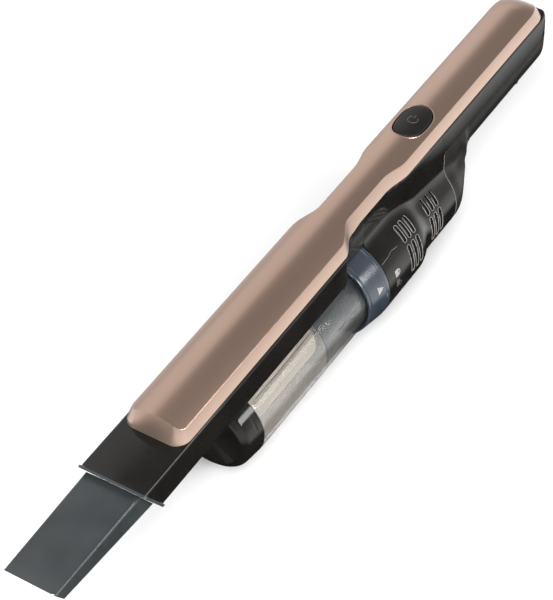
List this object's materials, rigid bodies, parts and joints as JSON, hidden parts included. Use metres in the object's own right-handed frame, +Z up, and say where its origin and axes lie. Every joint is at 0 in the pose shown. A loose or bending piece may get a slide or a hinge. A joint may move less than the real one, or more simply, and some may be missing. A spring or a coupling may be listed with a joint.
{
  "type": "handheld vacuum",
  "caption": "Slim cordless handheld vacuum with crevice tool, clear bin with fold-down cap, lock ring, filter, motor, cells and power button.",
  "frame": {"origin": "middle of the box that bounds the vacuum, at its lowest point", "axes": "+X along the body from the nozzle towards the handle's end, +Z up through the gold top cover, Y across"},
  "size_m": [0.566, 0.066, 0.1003],
  "materials": {
    "gold_cover": "satin",
    "gloss_black": "polished",
    "matte_black": "matte",
    "tool_grey": "satin",
    "clear_bin": "polished",
    "ring_blue": "satin",
    "filter_cream": "matte",
    "filter_paper": "matte",
    "frame_blue": "satin",
    "seal_rubber": "matte",
    "steel": "brushed",
    "magnet": "matte",
    "inner_plastic": "matte",
    "foam": "matte",
    "cell_wrap": "satin",
    "holder_plastic": "matte",
    "nickel": "polished",
    "board_green": "satin",
    "copper": "satin",
    "light_lens": "polished",
    "bearing_steel": "polished"
  },
  "bodies": {
    "housing": {"top_cover": "gold_cover", "nozzle_duct": "gloss_black", "duct_seal": "seal_rubber", "motor_housing": "gloss_black", "handle_upper": "gloss_black", "rear_shell": "matte_black", "motor_can": "steel", "motor_magnets": "magnet", "motor_end_bell": "inner_plastic", "motor_bearings": "bearing_steel", "fan_shroud": "inner_plastic", "motor_mount": "seal_rubber", "exhaust_foam": "foam", "battery_cells": "cell_wrap", "cell_holder": "holder_plastic", "cell_tabs": "nickel", "control_board": "board_green", "power_switch": "inner_plastic", "button_spring": "steel", "charge_jack": "inner_plastic", "charge_light": "light_lens", "case_screws": "steel", "flap_pin": "steel"},
    "button": {"power_button": "gloss_black"},
    "tool": {"crevice_tool": "tool_grey"},
    "bin": {"bin_shell": "clear_bin", "filter_frame": "frame_blue", "filter_pleats": "filter_paper", "filter_mesh": "filter_cream", "bin_seal": "seal_rubber", "cap_pin": "steel"},
    "ring": {"lock_ring": "ring_blue"},
    "cap": {"bin_cap": "gloss_black", "cap_seal": "seal_rubber"},
    "flap": {"inlet_flap": "inner_plastic"},
    "rotor": {"fan": "inner_plastic", "motor_shaft": "steel", "rotor_core": "copper", "fan_nut": "steel"}
  },
  "joints": [
    {"name": "button_press", "type": "slide", "parent": "housing", "child": "button", "axis": [0, 0, -1], "range_m": [0, 0.0018], "stiffness_N_per_m": 900, "deforming": ["button_spring"]},
    {"name": "tool_pull", "type": "slide", "parent": "housing", "child": "tool", "axis": [-1, 0, 0], "range_m": [0, 0.04]},
    {"name": "bin_slide", "type": "slide", "parent": "housing", "child": "bin", "axis": [-1, 0, 0], "range_m": [0, 0.085]},
    {"name": "ring_turn", "type": "hinge", "parent": "bin", "child": "ring", "pos_m": [0.03, 0, 0.033], "axis": [1, 0, 0], "range_deg": [0, 30]},
    {"name": "cap_open", "type": "hinge", "parent": "bin", "child": "cap", "pos_m": [-0.098, 0, 0.0071], "axis": [0, -1, 0], "range_deg": [0, 100]},
    {"name": "flap_swing", "type": "hinge", "parent": "housing", "child": "flap", "pos_m": [-0.157, 0, 0.082], "axis": [0, -1, 0], "range_deg": [0, 75]},
    {"name": "rotor_spin", "type": "hinge", "parent": "housing", "child": "rotor", "pos_m": [0.083, 0, 0.033], "axis": [1, 0, 0], "continuous": true}
  ]
}
